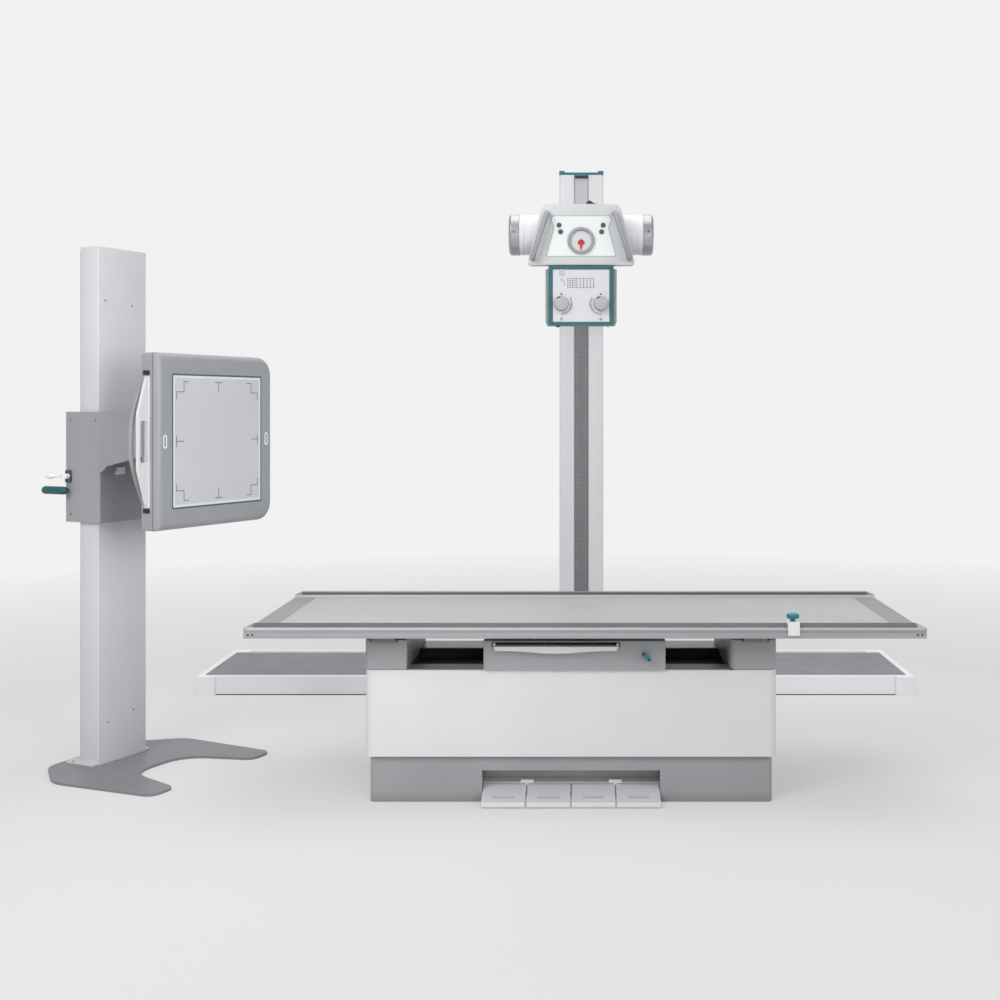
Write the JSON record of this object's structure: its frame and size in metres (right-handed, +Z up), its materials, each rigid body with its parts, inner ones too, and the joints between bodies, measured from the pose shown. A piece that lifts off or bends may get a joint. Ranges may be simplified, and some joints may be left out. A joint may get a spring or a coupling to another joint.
{
  "type": "digital radiography system",
  "caption": "X-ray room set: floating-top table with bucky and foot pedals, tube on a column that runs along a floor rail, and a wall stand with a detector bucky.",
  "frame": {"origin": "floor level under the middle of the table's plinth, below the tube's focal line", "axes": "+X to the right of a person facing the table's front, +Y away from that person towards the floor rail, +Z up"},
  "size_m": [3.4754, 2.4401, 2.4079],
  "materials": {
    "plinth": "matte grey",
    "lift_steel": "plain machined",
    "white_sheet": "white semi-gloss",
    "white_casting": "painted white",
    "white_moulding": "satin white",
    "frame_metal": "painted dark grey",
    "block_grey": "satin grey",
    "pedal_plastic": "satin light grey",
    "extrusion": "anodised",
    "table_laminate": "satin grey laminate",
    "tread": "fine ribbed grey",
    "scale": "satin grey with scale marks",
    "teal_trim": "satin teal",
    "dark_caps": "satin dark grey",
    "grey_grips": "satin grey",
    "pointer_red": "gloss red",
    "collimator_grey": "satin light grey",
    "shutter_knobs": "satin light grey",
    "foot_plate": "painted dark grey",
    "carriage_grey": "painted matte grey",
    "bucky_grey": "satin blue grey",
    "detector_face": "matte grey",
    "lever": "satin"
  },
  "bodies": {
    "base": {"table_plinth": "plinth", "lift_guide": "lift_steel", "pedal_hinge_rail": "white_sheet", "rail_platform": "white_casting", "rail_tread": "tread", "stand_foot": "foot_plate", "stand_column": "white_sheet"},
    "pedal_1": {"foot_pedal_1": "pedal_plastic"},
    "pedal_2": {"foot_pedal_2": "pedal_plastic"},
    "pedal_3": {"foot_pedal_3": "pedal_plastic"},
    "pedal_4": {"foot_pedal_4": "pedal_plastic"},
    "table_lift_unit": {"lift_ram": "frame_metal", "base_frame": "frame_metal", "pedestal_cover": "white_sheet", "end_block_left": "block_grey", "end_block_right": "block_grey", "bucky_runner_front": "extrusion", "bucky_runner_rear": "extrusion"},
    "table_bucky": {"table_bucky_housing": "block_grey"},
    "table_tray": {"detector_tray": "white_casting"},
    "tray_lock": {"tray_lock_knob": "teal_trim"},
    "cross_beams": {"float_beam_left": "extrusion", "float_beam_right": "extrusion"},
    "tabletop": {"tabletop_panel": "table_laminate", "side_rail_front": "extrusion", "side_rail_rear": "extrusion"},
    "clamp": {"rail_clamp": "white_sheet"},
    "clamp_screw": {"clamp_knob": "teal_trim"},
    "trolley": {"column_trolley": "white_casting"},
    "column": {"column_profile": "white_casting", "scale_strip": "scale", "column_cap": "teal_trim"},
    "weight": {"counterweight": "lift_steel"},
    "carriage": {"arm_carriage": "white_casting", "arm_sleeve": "extrusion"},
    "arm": {"arm_inner": "extrusion"},
    "head": {"tube_housing": "white_casting", "tube_cap_left": "dark_caps", "tube_cap_right": "dark_caps", "console_housing": "white_moulding", "console_handle_left": "grey_grips", "console_handle_right": "grey_grips"},
    "pointer": {"dial_pointer": "pointer_red"},
    "button_upper_left": {"console_button_upper_left": "dark_caps"},
    "button_upper_right": {"console_button_upper_right": "dark_caps"},
    "button_lower_left": {"console_button_lower_left": "dark_caps"},
    "button_lower_right": {"console_button_lower_right": "dark_caps"},
    "collimator": {"collimator_body": "collimator_grey", "collimator_bezel": "teal_trim"},
    "shutter_knob_left": {"collimator_knob_left": "shutter_knobs"},
    "shutter_knob_right": {"collimator_knob_right": "shutter_knobs"},
    "stand_slider": {"stand_carriage": "carriage_grey", "carriage_grip": "teal_trim", "bucky_rear_shell": "bucky_grey", "bucky_front_cover": "bucky_grey", "bucky_panel": "detector_face", "bow_handle": "grey_grips"},
    "brake": {"brake_lever": "lever"},
    "wall_tray": {"stand_tray": "white_casting"}
  },
  "joints": [
    {"name": "table_lift", "type": "slide", "parent": "base", "child": "table_lift_unit", "axis": [0, 0, 1], "range_m": [0, 0.22]},
    {"name": "bucky_travel", "type": "slide", "parent": "table_lift_unit", "child": "table_bucky", "axis": [1, 0, 0], "range_m": [-0.24, 0.2]},
    {"name": "table_tray_slide", "type": "slide", "parent": "table_bucky", "child": "table_tray", "axis": [0, -1, 0], "range_m": [0, 0.45]},
    {"name": "tray_lock_turn", "type": "hinge", "parent": "table_bucky", "child": "tray_lock", "pos_m": [0.246, -0.3126, 0.4866], "axis": [0, -1, 0], "range_deg": [0, 90]},
    {"name": "float_cross", "type": "slide", "parent": "table_lift_unit", "child": "cross_beams", "axis": [0, 1, 0], "range_m": [-0.1475, 0.0825]},
    {"name": "float_length", "type": "slide", "parent": "cross_beams", "child": "tabletop", "axis": [1, 0, 0], "range_m": [-0.05, 0.38]},
    {"name": "clamp_slide", "type": "slide", "parent": "tabletop", "child": "clamp", "axis": [1, 0, 0], "range_m": [-1.7, 0.37]},
    {"name": "clamp_knob_turn", "type": "hinge", "parent": "clamp", "child": "clamp_screw", "pos_m": [0.716, -0.3849, 0.6123], "axis": [0, 0, 1], "range_deg": [-180, 180]},
    {"name": "pedal_1_press", "type": "hinge", "parent": "base", "child": "pedal_1", "pos_m": [-0.2205, -0.2465, 0.0405], "axis": [1, 0, 0], "range_deg": [0, 2], "stiffness_Nm_per_rad": 60, "springref_deg": -2.86},
    {"name": "pedal_2_press", "type": "hinge", "parent": "base", "child": "pedal_2", "pos_m": [-0.0735, -0.2465, 0.0405], "axis": [1, 0, 0], "range_deg": [0, 2], "stiffness_Nm_per_rad": 60, "springref_deg": -2.86},
    {"name": "pedal_3_press", "type": "hinge", "parent": "base", "child": "pedal_3", "pos_m": [0.0735, -0.2465, 0.0405], "axis": [1, 0, 0], "range_deg": [0, 2], "stiffness_Nm_per_rad": 60, "springref_deg": -2.86},
    {"name": "pedal_4_press", "type": "hinge", "parent": "base", "child": "pedal_4", "pos_m": [0.2205, -0.2465, 0.0405], "axis": [1, 0, 0], "range_deg": [0, 2], "stiffness_Nm_per_rad": 60, "springref_deg": -2.86},
    {"name": "column_travel", "type": "slide", "parent": "base", "child": "trolley", "axis": [1, 0, 0], "range_m": [-0.8, 1.2]},
    {"name": "column_turn", "type": "hinge", "parent": "trolley", "child": "column", "pos_m": [0.033, 1.623, 0.1703], "axis": [0, 0, 1], "range_deg": [-90, 90]},
    {"name": "arm_lift", "type": "slide", "parent": "column", "child": "carriage", "axis": [0, 0, 1], "range_m": [-0.62, 0.22]},
    {"name": "counterweight_travel", "type": "slide", "parent": "column", "child": "weight", "axis": [0, 0, 1], "range_m": [-0.22, 0.62]},
    {"name": "arm_extend", "type": "slide", "parent": "carriage", "child": "arm", "axis": [0, 1, 0], "range_m": [-0.12, 0.13]},
    {"name": "tube_tilt", "type": "hinge", "parent": "arm", "child": "head", "pos_m": [0.033, 0.1203, 1.907], "axis": [0, 1, 0], "range_deg": [-90, 90]},
    {"name": "pointer_turn", "type": "hinge", "parent": "head", "child": "pointer", "pos_m": [0.033, -0.12, 1.8723], "axis": [0, 1, 0], "continuous": true},
    {"name": "button_upper_left_press", "type": "slide", "parent": "head", "child": "button_upper_left", "axis": [0, 1, 0], "range_m": [0, 0.002], "stiffness_N_per_m": 1500, "springref_m": -0.001},
    {"name": "button_upper_right_press", "type": "slide", "parent": "head", "child": "button_upper_right", "axis": [0, 1, 0], "range_m": [0, 0.002], "stiffness_N_per_m": 1500, "springref_m": -0.001},
    {"name": "button_lower_left_press", "type": "slide", "parent": "head", "child": "button_lower_left", "axis": [0, 1, 0], "range_m": [0, 0.002], "stiffness_N_per_m": 1500, "springref_m": -0.001},
    {"name": "button_lower_right_press", "type": "slide", "parent": "head", "child": "button_lower_right", "axis": [0, 1, 0], "range_m": [0, 0.002], "stiffness_N_per_m": 1500, "springref_m": -0.001},
    {"name": "collimator_swivel", "type": "hinge", "parent": "head", "child": "collimator", "pos_m": [0.033, 0, 1.7862], "axis": [0, 0, 1], "range_deg": [-45, 45]},
    {"name": "shutter_left_turn", "type": "hinge", "parent": "collimator", "child": "shutter_knob_left", "pos_m": [-0.0345, -0.1266, 1.6562], "axis": [0, -1, 0], "range_deg": [-60, 60]},
    {"name": "shutter_right_turn", "type": "hinge", "parent": "collimator", "child": "shutter_knob_right", "pos_m": [0.1005, -0.1266, 1.6562], "axis": [0, -1, 0], "range_deg": [-60, 60]},
    {"name": "stand_lift", "type": "slide", "parent": "base", "child": "stand_slider", "axis": [0, 0, 1], "range_m": [-0.7, 0.55]},
    {"name": "brake_turn", "type": "hinge", "parent": "stand_slider", "child": "brake", "pos_m": [-1.82767, 0.15668, 1.052], "axis": [0.4226, 0.9063, 0], "range_deg": [0, 60]},
    {"name": "wall_tray_slide", "type": "slide", "parent": "stand_slider", "child": "wall_tray", "axis": [-0.4226, -0.9063, 0], "range_m": [0, 0.45]}
  ],
  "couplings": [
    {"joint": "counterweight_travel", "follows": "arm_lift", "ratio": -1}
  ]
}
